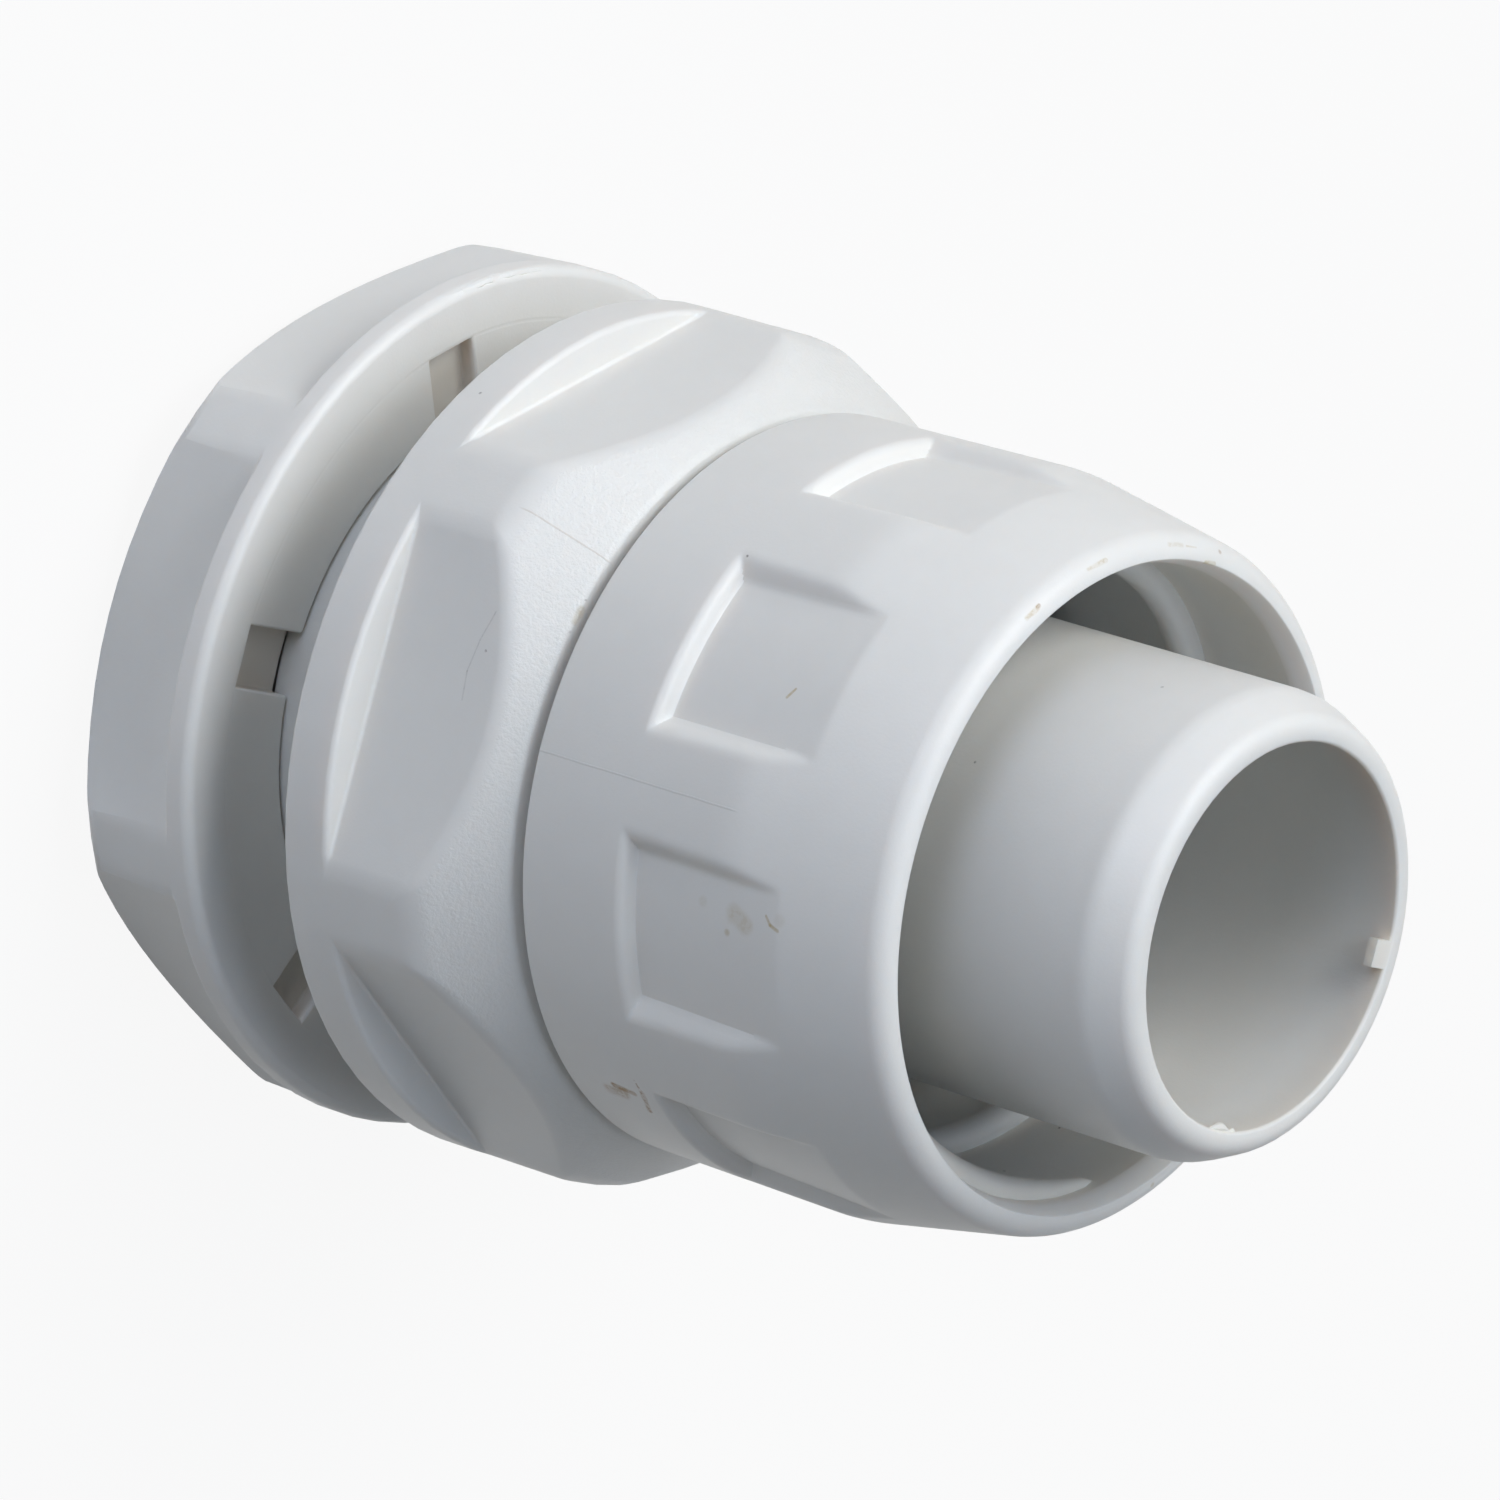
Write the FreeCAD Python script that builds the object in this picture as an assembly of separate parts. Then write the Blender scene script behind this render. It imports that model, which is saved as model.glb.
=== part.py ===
"""Flexible conduit connector: a hexagonal body with a shank and a push-in spigot,
a swivel nut snapped on its neck, and a lock nut on the shank.

It stands on the end of its shank. Z is the axis of every ring and z = 0 is the
end of the shank. X points at the middle of one of the six flats.
"""
import FreeCAD, Part
import math
import os

# shank that goes through the panel
SHANK_R = 10.48
SHANK_WALL = 1.88
SHANK_BORE_R = SHANK_R - SHANK_WALL
SHANK_LEAD = 0.50

# flange, hexagon, shoulder and textured flank of the body
FLANGE_Z = 10.82
FLANGE_SEAT = 4.32
FLANGE_R = SHANK_R + FLANGE_SEAT
LEDGE_Z = 12.74
FLAT_INSET = 1.34
HEX_COUNT = 6
SHOULDER_Z = 16.38
SHOULDER_ROUND = 1.00
FLANK_ANGLE = 38.0
NECK_FACE_Z = 19.24

# spigot that the conduit slides over, and the cable bore through it
BORE_R = 6.50
BORE_FOOT_Z = 15.20
SPIGOT_WALL = 1.46
SPIGOT_R = BORE_R + SPIGOT_WALL
TIP_Z = 40.86
TIP_LEAD = 1.60
TIP_LEAD_ANGLE = 24.0
TIP_ROUND = 0.70

# neck that carries the swivel nut, and the bead that keeps it on
NECK_STEP = 1.74
NECK_R = SPIGOT_R + NECK_STEP
BEAD_CATCH = 0.45
BEAD_R = NECK_R + BEAD_CATCH
BEAD_LENGTH = 2.0
RUNNING_GAP = 0.08
END_GAP = 0.31

# swivel nut, sized outwards from the conduit cavity, which clears the bead
CAVITY_CLEARANCE = 0.63
CAVITY_R = BEAD_R + CAVITY_CLEARANCE
CAVITY_MOUTH_Z = 33.50
END_WALL = 2.05
MOUTH_LEAD = 0.28
MOUTH_Z = 34.27
NUT_WALL = 2.11
NUT_WAIST_R = CAVITY_R + NUT_WALL
NUT_WAIST_Z = 27.93
NUT_WAIST_ROUND = 6.0
NUT_END_INSET = 0.13
NUT_RIM_WALL = 1.02
NUT_RIM_ROUND = 0.85

# grip pockets round the swivel nut
POCKET_COUNT = 8
POCKET_TURN = 23.3
POCKET_DEPTH = 0.76
POCKET_FOOT_Z = 24.01
POCKET_RAMP_Z = 30.38
POCKET_RAMP_SLOPE = 0.13
POCKET_HALF_ANGLE = 12.25
POCKET_SIDE_SLOPE = 1.38
POCKET_BACK_SLOPE = 0.40
POCKET_CLEAR = 1.0

# right-handed ridge inside the swivel nut, which screws onto the conduit
RIDGE_PITCH = 5.30
RIDGE_START_ANGLE = 296.0
RIDGE_START_Z = 33.00
RIDGE_TURNS = 1.5
RIDGE_HEIGHT = 0.80
RIDGE_CREST_HALF = 0.25
RIDGE_FOOT_HALF = 0.65
RIDGE_ROOT = 0.15
RIDGE_FADE = 45.0
RIDGE_STEP = 36.0

# lock nut, sized inwards from its flange, which stands a little outside that of the body
LOCK_END_Z = 0.46
LOCK_BACK_Z = 5.62
LOCK_FACE_Z = 6.71
LOCK_OVERHANG = 0.26
LOCK_FLANGE_R = FLANGE_R + LOCK_OVERHANG
LOCK_FLANGE_ROUND = 0.45
LOCK_FLAT_INSET = 1.52
LOCK_DRAFT = 0.20
LOCK_CHAMFER_WIDTH = 1.74
LOCK_CHAMFER_RISE = 1.35
LOCK_TURN = 1.0
NOTCH_INSET = 1.91
NOTCH_WIDTH = 2.15
NOTCH_DEPTH = 0.65

ROUND_CHORDS = 2
AXIS = FreeCAD.Vector(0, 0, 1)
ORIGIN = FreeCAD.Vector(0, 0, 0)


def at(r, z):
    return FreeCAD.Vector(r, 0, z)


def tangent_arc(corner, before, after, radius):
    """Start, middle and end of the arc that rounds a corner of an outline."""
    back = (before - corner).normalize()
    ahead = (after - corner).normalize()
    half = back.getAngle(ahead) / 2
    reach = radius / math.tan(half)
    to_arc = radius / math.sin(half) - radius
    middle = corner + (back + ahead).normalize() * to_arc
    return Part.Arc(corner + back * reach, middle, corner + ahead * reach)


def start_of(piece):
    return piece[0] if isinstance(piece, list) else piece.firstVertex(True).Point


def end_of(piece):
    return piece[-1] if isinstance(piece, list) else piece.lastVertex(True).Point


def turned(*outline):
    """Ring turned about the axis from an outline of (radius, height), rounded where a
    corner gives a radius, in chords where it gives a count of them too."""
    corners = [at(c[0], c[1]) for c in outline]
    pieces = []
    for i, corner in enumerate(corners):
        rounding = outline[i][2:]
        if not rounding:
            pieces.append([corner])
            continue
        arc = tangent_arc(corner, corners[i - 1], corners[(i + 1) % len(corners)], rounding[0])
        pieces.append(arc.toShape() if len(rounding) == 1 else arc.discretize(rounding[1] + 1))
    edges = []
    last = end_of(pieces[-1])
    for piece in pieces:
        edges.append(Part.makeLine(last, start_of(piece)))
        if isinstance(piece, list):
            edges += [Part.makeLine(a, b) for a, b in zip(piece, piece[1:])]
        else:
            edges.append(piece)
        last = end_of(piece)
    return Part.Face(Part.Wire(edges)).revolve(ORIGIN, AXIS, 360)


def prism(spots, along):
    """Solid swept straight from a closed outline of points."""
    return Part.Face(Part.makePolygon(spots + spots[:1])).extrude(along)


def round_the_axis(tool, count, first_angle=0.0):
    copies = []
    for i in range(count):
        copy = tool.copy()
        copy.rotate(ORIGIN, AXIS, first_angle + i * 360.0 / count)
        copies.append(copy)
    return copies


def flat_cutter(low, high, reach):
    """Block outside one flat of a hexagon, which leans from one (apothem, height) to the other."""
    wide = FreeCAD.Vector(0, 2 * reach, 0)
    spots = [at(*low), at(*high), at(reach, high[1]), at(reach, low[1])]
    block = prism(spots, wide)
    block.translate(wide * -0.5)
    return block


def connector_body():
    foot_r = FLANGE_R - (NECK_FACE_Z - SHOULDER_Z) * math.tan(math.radians(FLANK_ANGLE))
    bead_z = NECK_FACE_Z + END_WALL + 2 * END_GAP
    tip_r = SPIGOT_R - TIP_LEAD * math.tan(math.radians(TIP_LEAD_ANGLE))
    ring = turned(
        (SHANK_BORE_R, 0.0),
        (SHANK_R - SHANK_LEAD, 0.0),
        (SHANK_R, SHANK_LEAD),
        (SHANK_R, FLANGE_Z),
        (FLANGE_R, FLANGE_Z),
        (FLANGE_R, SHOULDER_Z, SHOULDER_ROUND),
        (foot_r, NECK_FACE_Z),
        (NECK_R, NECK_FACE_Z),
        (NECK_R, bead_z),
        (BEAD_R, bead_z),
        (BEAD_R, bead_z + BEAD_LENGTH),
        (SPIGOT_R, bead_z + BEAD_LENGTH),
        (SPIGOT_R, TIP_Z - TIP_LEAD),
        (tip_r, TIP_Z, TIP_ROUND, 1),
        (BORE_R, TIP_Z),
        (BORE_R, BORE_FOOT_Z),
        (SHANK_BORE_R, BORE_FOOT_Z),
    )
    apothem = FLANGE_R - FLAT_INSET
    flat = flat_cutter((apothem, LEDGE_Z), (apothem, NECK_FACE_Z), 2 * FLANGE_R)
    return ring.cut(round_the_axis(flat, HEX_COUNT))


def pocket_cutter():
    """Grip pocket on +X: floor round the axis, sloping sides and back, and a shallow ramp out at the top."""
    floor_r = NUT_WAIST_R - POCKET_DEPTH
    outer = NUT_WAIST_R + POCKET_CLEAR
    ring = turned(
        (floor_r, POCKET_FOOT_Z),
        (floor_r, POCKET_RAMP_Z),
        (floor_r + POCKET_RAMP_SLOPE * (MOUTH_Z - POCKET_RAMP_Z), MOUTH_Z),
        (outer, MOUTH_Z),
        (outer, POCKET_FOOT_Z - POCKET_BACK_SLOPE * (outer - floor_r)),
    )
    half_angle = math.radians(POCKET_HALF_ANGLE)
    foot_x = floor_r * math.cos(half_angle)
    foot_y = floor_r * math.sin(half_angle)
    mouth_y = foot_y + POCKET_SIDE_SLOPE * (outer - foot_x)
    plan = prism([
        ORIGIN,
        FreeCAD.Vector(foot_x, -foot_y, 0),
        FreeCAD.Vector(outer, -mouth_y, 0),
        FreeCAD.Vector(outer, mouth_y, 0),
        FreeCAD.Vector(foot_x, foot_y, 0),
    ], AXIS * MOUTH_Z)
    return ring.common(plan)


def ridge_path():
    """Spiral along the cavity wall, sunk into the wall at both ends so that the ridge dies out."""
    whole = 360.0 * RIDGE_TURNS
    count = round(whole / RIDGE_STEP)
    spots = []
    for i in range(count + 1):
        wound = whole * i / count
        to_end = min(wound, whole - wound)
        sunk = (RIDGE_HEIGHT + RIDGE_ROOT / 2) * max(0.0, 1.0 - to_end / RIDGE_FADE) ** 2
        a = math.radians(RIDGE_START_ANGLE - wound)
        r = CAVITY_R + sunk
        z = RIDGE_START_Z - RIDGE_PITCH * wound / 360.0
        spots.append(FreeCAD.Vector(r * math.cos(a), r * math.sin(a), z))
    curve = Part.BSplineCurve()
    curve.interpolate(spots)
    return curve


def conduit_ridge():
    path = ridge_path()
    start = path.StartPoint
    inward = FreeCAD.Vector(-start.x, -start.y, 0).normalize()
    outline = [
        start - AXIS * RIDGE_FOOT_HALF - inward * RIDGE_ROOT,
        start - AXIS * RIDGE_CREST_HALF + inward * RIDGE_HEIGHT,
        start + AXIS * RIDGE_CREST_HALF + inward * RIDGE_HEIGHT,
        start + AXIS * RIDGE_FOOT_HALF - inward * RIDGE_ROOT,
    ]
    sweep = Part.BRepOffsetAPI.MakePipeShell(Part.Wire([path.toShape()]))
    sweep.setBiNormalMode(AXIS)
    sweep.add(Part.makePolygon(outline + outline[:1]))
    sweep.build()
    sweep.makeSolid()
    return sweep.shape()


def swivel_nut():
    end_z = NECK_FACE_Z + END_GAP
    hole_r = NECK_R + RUNNING_GAP
    ring = turned(
        (hole_r, end_z),
        (NUT_WAIST_R - NUT_END_INSET, end_z),
        (NUT_WAIST_R, NUT_WAIST_Z, NUT_WAIST_ROUND, 1),
        (CAVITY_R + NUT_RIM_WALL, MOUTH_Z, NUT_RIM_ROUND, ROUND_CHORDS),
        (CAVITY_R + MOUTH_LEAD, MOUTH_Z),
        (CAVITY_R, CAVITY_MOUTH_Z),
        (CAVITY_R, end_z + END_WALL),
        (hole_r, end_z + END_WALL),
    )
    ring = ring.cut(round_the_axis(pocket_cutter(), POCKET_COUNT, POCKET_TURN))
    return ring.fuse(conduit_ridge())


def lock_nut():
    bore_r = SHANK_R + RUNNING_GAP
    corner_end_r = LOCK_FLANGE_R - LOCK_DRAFT
    ring = turned(
        (bore_r, LOCK_END_Z),
        (corner_end_r - LOCK_CHAMFER_WIDTH, LOCK_END_Z),
        (corner_end_r, LOCK_END_Z + LOCK_CHAMFER_RISE),
        (LOCK_FLANGE_R, LOCK_BACK_Z),
        (LOCK_FLANGE_R, LOCK_FACE_Z, LOCK_FLANGE_ROUND, 1),
        (bore_r, LOCK_FACE_Z),
    )
    apothem = LOCK_FLANGE_R - LOCK_FLAT_INSET
    end_apothem = apothem - LOCK_DRAFT
    flat = flat_cutter((end_apothem, LOCK_END_Z), (apothem, LOCK_BACK_Z), 2 * LOCK_FLANGE_R)
    corner = FreeCAD.Vector(0, -NOTCH_WIDTH / 2, LOCK_FACE_Z - NOTCH_DEPTH)
    notch = Part.makeBox(LOCK_FLANGE_R - NOTCH_INSET, NOTCH_WIDTH, 2 * NOTCH_DEPTH, corner)
    cuts = [round_the_axis(tool, HEX_COUNT, LOCK_TURN) for tool in (flat, notch)]
    return ring.cut(cuts[0] + cuts[1])


os.makedirs("parts", exist_ok=True)
for make in (connector_body, swivel_nut, lock_nut):
    shape = make()
    solid = shape.Solids[0]
    solid.exportStep("parts/%s.step" % make.__name__)
    print(make.__name__, "solids", len(shape.Solids), "valid", solid.isValid(), "mm3 %.0f" % solid.Volume)
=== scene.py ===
"""Looks of the flexible conduit connector: three moulded pieces in pale grey plastic."""
import math

import bpy
from mathutils import Matrix, Quaternion, Vector


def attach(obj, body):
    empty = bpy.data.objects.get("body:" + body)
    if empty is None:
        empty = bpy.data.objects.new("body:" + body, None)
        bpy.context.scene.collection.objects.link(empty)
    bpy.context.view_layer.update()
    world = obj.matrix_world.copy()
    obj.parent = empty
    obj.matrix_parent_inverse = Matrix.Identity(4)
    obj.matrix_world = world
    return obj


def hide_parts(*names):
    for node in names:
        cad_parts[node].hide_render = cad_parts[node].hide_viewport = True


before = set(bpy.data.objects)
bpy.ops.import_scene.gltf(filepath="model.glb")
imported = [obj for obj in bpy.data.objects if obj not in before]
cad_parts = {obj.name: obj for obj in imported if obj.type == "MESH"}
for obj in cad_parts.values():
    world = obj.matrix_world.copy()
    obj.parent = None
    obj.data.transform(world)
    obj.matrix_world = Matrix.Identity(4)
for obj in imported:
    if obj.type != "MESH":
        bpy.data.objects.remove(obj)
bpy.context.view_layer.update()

MM = 0.001
RING_STEPS = 72
RING_TURN = 2.5

# connector body
SHANK_R = 10.48
SHANK_BORE_R = 8.60
SHANK_LEAD = 0.50
FLANGE_Z = 10.82
FLANGE_R = 14.80
LEDGE_Z = 12.74
HEX_APOTHEM = 13.46
HEX_COUNT = 6
SHOULDER_Z = 16.38
NECK_FACE_Z = 19.24
NECK_FACE_R = 12.566
NECK_R = 9.70
BEAD_Z = 21.91
BEAD_TOP_Z = 23.91
BEAD_R = 10.15
SPIGOT_R = 7.96
TIP_Z = 40.86
TIP_R = 7.248
TIP_LEAD = 1.60
TIP_LEAD_ROUND = 1.5
TIP_ROUND = 0.70
BORE_R = 6.50
BORE_FOOT_Z = 15.20
THREAD_PITCH = 1.814
THREAD_START_Z = 0.9
THREAD_TURNS = 3.0
THREAD_CUT_R = 0.62
THREAD_FADE = 60.0
THREAD_RUN_OUT = 0.6
NIB_TURN = 1.0
NIB_INNER_R = 5.75
NIB_HALF_WIDTH = 0.47
NIB_THICK = 0.38

# roundings of the body's edges
FLANGE_BACK_ROUND = 0.15
SHANK_ROUND = 0.06
FLANGE_FRONT_ROUND = 0.22
NECK_ROUND = 0.12
NECK_FACE_ROUND = 0.45
SHOULDER_ROUND = 0.75
FLAT_ROUND = 0.42

# swivel nut
NUT_STEPS = 672
NUT_HOLE_R = 9.78
NUT_END_Z = 19.55
NUT_END_R = 12.76
NUT_END_ROUND = 0.15
WAIST_R = 12.90
WAIST_Z = 28.15
WAIST_ROUND = 6.0
RIM_R = 11.80
RIM_ROUND = 0.85
MOUTH_Z = 34.27
MOUTH_R = 11.06
CAVITY_R = 10.78
CAVITY_MOUTH_Z = 33.50
CAVITY_FLOOR_Z = 21.60
CAVITY_ROUND = 0.3
POCKETS = 8
POCKET_TURN = 24.0
POCKET_FLOOR_R = 12.25
POCKET_FLOOR_RISE = 0.042
POCKET_FOOT_Z = 24.08
POCKET_FRONT_Z = 31.5
POCKET_HALF_ANGLE = 12.05
POCKET_SIDE_SLOPE = 1.0
POCKET_SIDE_ROLL = 0.62
POCKET_BACK_SLOPE = 2.6
POCKET_BACK_ROLL = 0.36
RIDGE_PITCH = 5.30
RIDGE_START_ANGLE = 296.0
RIDGE_START_Z = 33.00
RIDGE_TURNS = 1.5
RIDGE_HEIGHT = 0.80
RIDGE_HALF_WIDTH = 0.62
RIDGE_FADE = 45.0
RIDGE_SINK = 0.1

# lock nut
LOCK_BORE_R = 10.56
LOCK_END_Z = 0.46
LOCK_BACK_Z = 5.62
LOCK_FACE_Z = 6.71
LOCK_FLANGE_R = 15.06
LOCK_CORNER_END_R = 14.86
LOCK_CHAMFER_R = 13.12
LOCK_CHAMFER_Z = 1.81
LOCK_APOTHEM = 13.54
LOCK_END_APOTHEM = 13.34
LOCK_TURN = 1.0
NOTCH_R = 13.15
NOTCH_WIDTH = 2.15
NOTCH_DEPTH = 0.65
LOCK_END_ROUND = 0.3
LOCK_CHAMFER_ROUND = 0.8

# roundings of the lock nut's edges
NOTCH_ROUND = 0.10
LOCK_RIM_ROUND = 0.40
LOCK_BACK_ROUND = 0.15
LOCK_SEAT_ROUND = 0.22
LOCK_FLAT_ROUND = 0.38

# spans that reach past a ring on every side, for the blocks that cut it
CUT_REACH = 20
CUT_HALF_LENGTH = 12
NEAR = 0.1


def mm(*values):
    return Vector(values) * MM


def only(obj):
    """Deselects everything, then selects and activates one object."""
    bpy.ops.object.select_all(action="DESELECT")
    obj.select_set(True)
    bpy.context.view_layer.objects.active = obj


def rounded(outline, turn=12.0):
    """Outline of radius and height in mm, with each corner that gives a rounding made an arc of chords."""
    points = []
    for i, corner in enumerate(outline):
        here = Vector(corner[:2])
        if len(corner) == 2:
            points.append(here)
            continue
        back = (Vector(outline[i - 1][:2]) - here).normalized()
        ahead = (Vector(outline[(i + 1) % len(outline)][:2]) - here).normalized()
        half = back.angle(ahead) / 2
        centre = here + (back + ahead).normalized() * corner[2] / math.sin(half)
        first = here + back * corner[2] / math.tan(half) - centre
        sweep = math.pi - 2 * half
        last = here + ahead * corner[2] / math.tan(half) - centre
        side = 1 if first.x * last.y - first.y * last.x > 0 else -1
        steps = max(2, math.ceil(math.degrees(sweep) / turn))
        points += [centre + Matrix.Rotation(side * sweep * k / steps, 2) @ first
                   for k in range(steps + 1)]
    return points


def lathe(name, outline, steps=RING_STEPS, turn=0.0):
    """Ring made by extruding a circle along an outline and scaling it at each corner, then turned."""
    points = rounded(outline)
    bpy.ops.object.select_all(action="DESELECT")
    first = points[0]
    bpy.ops.mesh.primitive_circle_add(vertices=steps, radius=first.x * MM, location=(0, 0, first.y * MM))
    ring = bpy.context.object
    ring.name = ring.data.name = name
    bpy.ops.object.transform_apply(location=True)
    bpy.ops.object.mode_set(mode="EDIT")
    bpy.ops.mesh.select_all(action="SELECT")
    for last, here in zip(points, points[1:] + points[:1]):
        rise, grow = (here.y - last.y) * MM, here.x / last.x
        bpy.ops.mesh.extrude_region_move(TRANSFORM_OT_translate={"value": (0, 0, rise)})
        bpy.ops.transform.resize(value=(grow, grow, 1), center_override=(0, 0, 0))
    bpy.ops.mesh.select_all(action="SELECT")
    bpy.ops.mesh.remove_doubles(threshold=0.002 * MM)
    bpy.ops.mesh.normals_make_consistent(inside=False)
    bpy.ops.object.mode_set(mode="OBJECT")
    ring.data.transform(Matrix.Rotation(math.radians(turn), 4, "Z"))
    return ring


def block(low, high):
    """Solid block between two corners in mm."""
    low, high = mm(*low), mm(*high)
    bpy.ops.object.select_all(action="DESELECT")
    bpy.ops.mesh.primitive_cube_add(size=1, location=(low + high) / 2, scale=high - low)
    made = bpy.context.object
    bpy.ops.object.transform_apply(location=True, rotation=True, scale=True)
    return made


def move_corners(obj, test, shift):
    """In edit mode, moves the corners of obj that pass a test on their place in mm."""
    only(obj)
    bpy.ops.object.mode_set(mode="EDIT")
    bpy.ops.mesh.select_mode(type="VERT")
    bpy.ops.mesh.select_all(action="DESELECT")
    bpy.ops.object.mode_set(mode="OBJECT")
    for corner in obj.data.vertices:
        corner.select = test(corner.co / MM)
    bpy.ops.object.mode_set(mode="EDIT")
    bpy.ops.transform.translate(value=mm(*shift))
    bpy.ops.object.mode_set(mode="OBJECT")


def copies_round(obj, count, first_angle=0.0):
    """Joins copies of obj, set evenly round the axis, into one object."""
    made = []
    for k in range(count):
        copy = obj.copy()
        copy.data = obj.data.copy()
        bpy.context.collection.objects.link(copy)
        copy.data.transform(Matrix.Rotation(math.radians(first_angle) + math.tau * k / count, 4, "Z"))
        made.append(copy)
    bpy.data.objects.remove(obj)
    bpy.ops.object.select_all(action="DESELECT")
    for copy in made:
        copy.select_set(True)
    bpy.context.view_layer.objects.active = made[0]
    bpy.ops.object.join()
    return bpy.context.object


def combine(obj, tool, operation="DIFFERENCE"):
    """Cuts tool out of obj, or joins it on, and removes the tool."""
    only(obj)
    step = obj.modifiers.new("cut", "BOOLEAN")
    step.operation, step.solver, step.object = operation, "EXACT", tool
    bpy.ops.object.modifier_apply(modifier=step.name)
    bpy.data.objects.remove(tool)


def soften(obj, width_at, angle=20.0, segments=4):
    """Rounds the edges sharper than an angle, each by the width that width_at gives for its middle."""
    only(obj)
    mesh = obj.data
    bpy.ops.object.mode_set(mode="EDIT")
    bpy.ops.mesh.select_mode(type="EDGE")
    bpy.ops.mesh.select_all(action="DESELECT")
    bpy.ops.mesh.edges_select_sharp(sharpness=math.radians(angle))
    bpy.ops.object.mode_set(mode="OBJECT")
    widths = [0.0] * len(mesh.edges)
    for edge in mesh.edges:
        if edge.select:
            ends = [mesh.vertices[k].co / MM for k in edge.vertices]
            middle = (ends[0] + ends[1]) / 2
            widths[edge.index] = width_at(middle.xy.length, middle.z)
    widest = max(widths)
    marks = mesh.attributes.new("bevel_weight_edge", "FLOAT", "EDGE")
    marks.data.foreach_set("value", [width / widest for width in widths])
    step = obj.modifiers.new("soften", "BEVEL")
    step.width, step.limit_method, step.segments = widest * MM, "WEIGHT", segments
    step.use_clamp_overlap = False
    bpy.ops.object.modifier_apply(modifier=step.name)


def shade(obj):
    """Shades curved faces smooth, with wide faces kept flat up to their roundings."""
    only(obj)
    bpy.ops.object.shade_smooth_by_angle(angle=math.radians(35))
    even = obj.modifiers.new("even", "WEIGHTED_NORMAL")
    even.keep_sharp, even.weight = True, 80
    bpy.ops.object.modifier_apply(modifier=even.name)


def bar_along(name, spots, half_width, roundness):
    """Round bar through spots of place in mm and share of its half width, as a mesh."""
    path = bpy.data.curves.new(name, "CURVE")
    path.dimensions = "3D"
    run = path.splines.new("POLY")
    run.points.add(len(spots) - 1)
    for point, (place, share) in zip(run.points, spots):
        point.co = (*mm(*place), 1)
        point.radius = share
    path.bevel_depth, path.bevel_resolution, path.use_fill_caps = half_width * MM, roundness, True
    bar = bpy.data.objects.new(name, path)
    bpy.context.collection.objects.link(bar)
    only(bar)
    bpy.ops.object.convert(target="MESH")
    return bpy.context.object


def polar(r, degrees, z):
    """Place in mm at a radius, an angle and a height."""
    angle = math.radians(degrees)
    return r * math.cos(angle), r * math.sin(angle), z


def spiral_bar(name, start_r, start_z, start_angle, pitch, turns, half_width, fade, sink,
               steps_per_turn=96, hand=-1):
    """Round bar wound round the axis, which thins out and moves outwards by sink at both of its ends."""
    steps = round(steps_per_turn * turns)
    spots = []
    for k in range(steps + 1):
        wound = 360.0 * turns * k / steps
        from_end = min(wound, 360.0 * turns - wound) / fade
        full = math.sqrt(max(0.0, 1 - max(0.0, 1 - from_end) ** 2))
        rise = pitch * wound / 360.0
        place = polar(start_r + (1 - full) * sink, start_angle + hand * wound, start_z + rise)
        spots.append((place, max(full, 0.02)))
    return bar_along(name, spots, half_width, 4)


def body_edge_width(r, z):
    """Width of the rounding on the body's edge at a radius and height."""
    if z < FLANGE_Z + NEAR:
        return FLANGE_BACK_ROUND if r > SHANK_R + SHANK_LEAD else SHANK_ROUND
    if z < LEDGE_Z + NEAR:
        return FLANGE_FRONT_ROUND if r > FLANGE_R - NEAR else NECK_ROUND
    if r < NECK_FACE_R - NEAR or z > NECK_FACE_Z + NEAR:
        return NECK_ROUND
    if z > NECK_FACE_Z - NEAR:
        return NECK_FACE_ROUND
    if z > SHOULDER_Z - NEAR and r > FLANGE_R - NEAR:
        return SHOULDER_ROUND
    return FLAT_ROUND


def flash_string(name, spots):
    """Ragged string of moulding flash through spots of angle, radius, height and half width in mm."""
    return bar_along(name, [(polar(r, angle, z), half_width) for angle, r, z, half_width in spots], 1.0, 2)


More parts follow.
